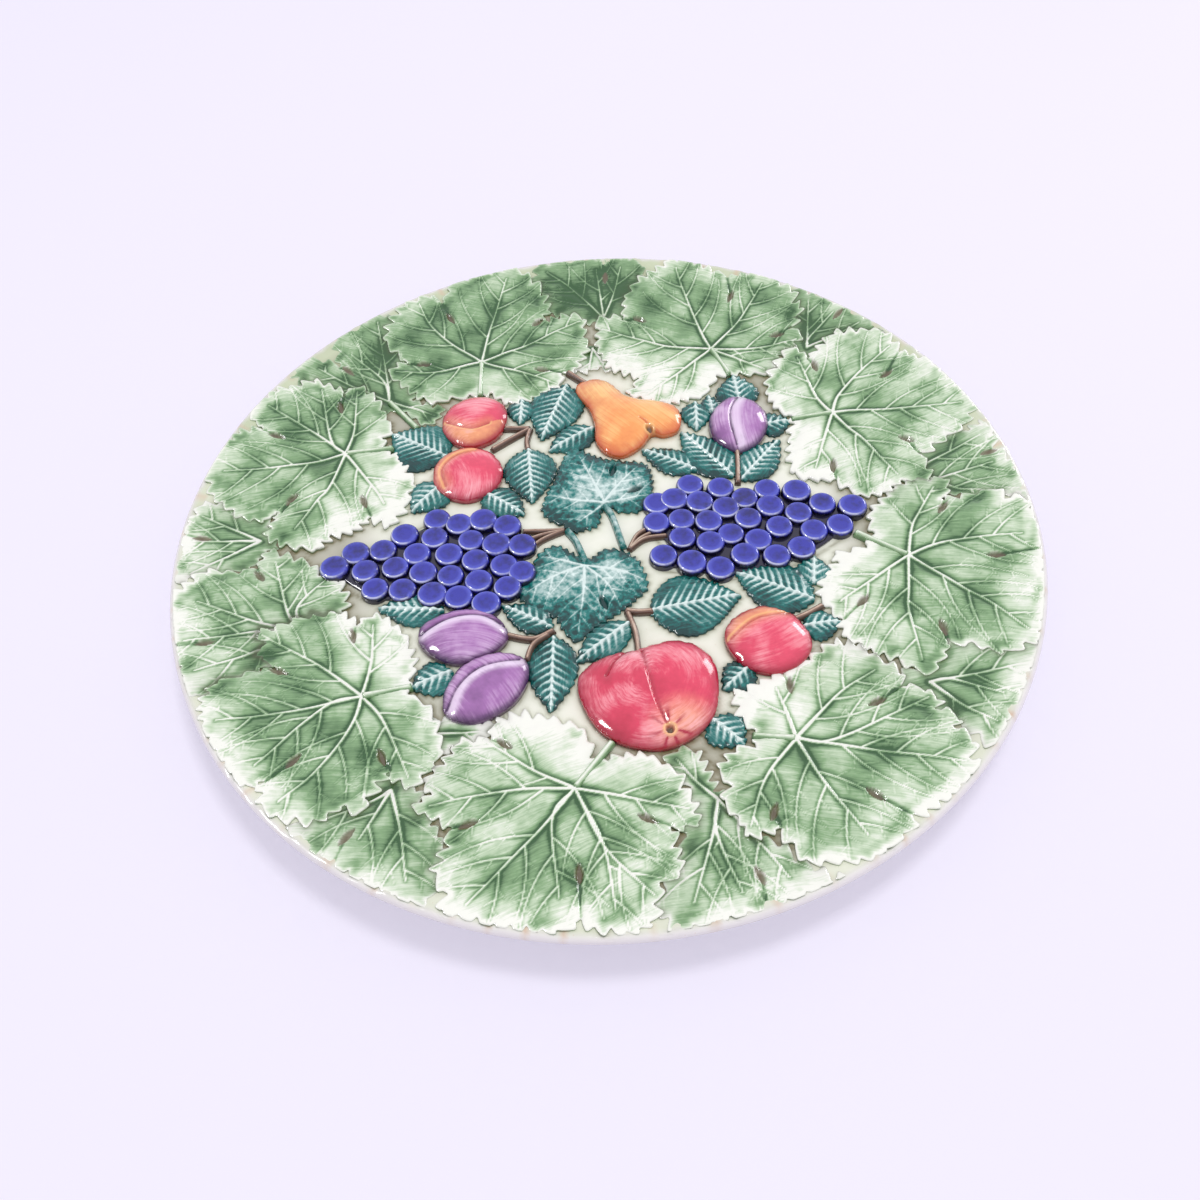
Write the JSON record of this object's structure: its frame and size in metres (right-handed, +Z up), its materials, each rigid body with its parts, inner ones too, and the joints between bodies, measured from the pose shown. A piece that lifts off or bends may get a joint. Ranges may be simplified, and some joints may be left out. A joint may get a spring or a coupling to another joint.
{
  "type": "majolica serving plate",
  "caption": "Round shallow serving plate on a foot ring, with moulded relief of vine leaves on the rim and fruit and grapes in the well.",
  "frame": {"origin": "centre of the foot ring's resting plane", "axes": "+Z up out of the plate, +Y towards the pear, +X towards the right bunch of grapes"},
  "size_m": [0.33, 0.33, 0.0244],
  "materials": {
    "ivory_glaze": "clear glossy glaze",
    "rim_leaf_glaze": "clear glossy glaze",
    "back_leaf_glaze": "clear glossy glaze",
    "fruit_leaf_glaze": "clear glossy glaze",
    "grape_glaze": "clear glossy glaze",
    "stalk_glaze": "clear glossy glaze",
    "plum_glaze": "clear glossy glaze",
    "peach_glaze": "clear glossy glaze",
    "apple_glaze": "clear glossy glaze",
    "pear_glaze": "clear glossy glaze"
  },
  "bodies": {
    "root": {"dish_body": "ivory_glaze", "foot_ring": "ivory_glaze", "rim_leaf_left_lower": "rim_leaf_glaze", "rim_leaf_top_left": "rim_leaf_glaze", "rim_leaf_right_upper": "rim_leaf_glaze", "rim_leaf_right_lower": "rim_leaf_glaze", "rim_leaf_bottom": "rim_leaf_glaze", "rim_leaf_bottom_right": "rim_leaf_glaze", "rim_leaf_top_right": "rim_leaf_glaze", "rim_leaf_left_upper": "rim_leaf_glaze", "rim_leaf_left_middle": "rim_leaf_glaze", "back_leaf_top_left": "back_leaf_glaze", "back_leaf_top": "back_leaf_glaze", "back_leaf_top_small": "back_leaf_glaze", "back_leaf_top_right": "back_leaf_glaze", "back_leaf_right": "back_leaf_glaze", "back_leaf_bottom_right": "back_leaf_glaze", "back_leaf_bottom": "back_leaf_glaze", "back_leaf_bottom_left": "back_leaf_glaze", "back_leaf_bottom_small": "back_leaf_glaze", "back_leaf_left": "back_leaf_glaze", "centre_leaf_upper": "fruit_leaf_glaze", "centre_leaf_lower": "fruit_leaf_glaze", "peach_leaf_left": "fruit_leaf_glaze", "peach_leaf_lower_left": "fruit_leaf_glaze", "peach_leaf_lower_right": "fruit_leaf_glaze", "peach_leaf_small": "fruit_leaf_glaze", "pear_leaf_left": "fruit_leaf_glaze", "pear_leaf_lower": "fruit_leaf_glaze", "pear_leaf_right": "fruit_leaf_glaze", "plum_top_leaf_small": "fruit_leaf_glaze", "plum_top_leaf_upper": "fruit_leaf_glaze", "plum_top_leaf_right": "fruit_leaf_glaze", "plum_top_leaf_left": "fruit_leaf_glaze", "peach_right_leaf_upper": "fruit_leaf_glaze", "peach_right_leaf_outer": "fruit_leaf_glaze", "peach_right_leaf_lower": "fruit_leaf_glaze", "apple_leaf_right": "fruit_leaf_glaze", "apple_leaf_left": "fruit_leaf_glaze", "plum_leaf_upper": "fruit_leaf_glaze", "plum_leaf_lower": "fruit_leaf_glaze", "peach_branch": "fruit_leaf_glaze", "plum_branch": "fruit_leaf_glaze", "apple_branch": "fruit_leaf_glaze", "plum_top_branch": "fruit_leaf_glaze", "peach_right_branch": "fruit_leaf_glaze", "grape_bunch_left": "grape_glaze", "grape_bunch_right": "grape_glaze", "grape_stalk_left": "stalk_glaze", "grape_stalk_right": "stalk_glaze", "plum_upper": "plum_glaze", "plum_lower": "plum_glaze", "plum_top": "plum_glaze", "peach_upper": "peach_glaze", "peach_lower": "peach_glaze", "peach_right": "peach_glaze", "apple": "apple_glaze", "pear": "pear_glaze"}
  },
  "joints": []
}
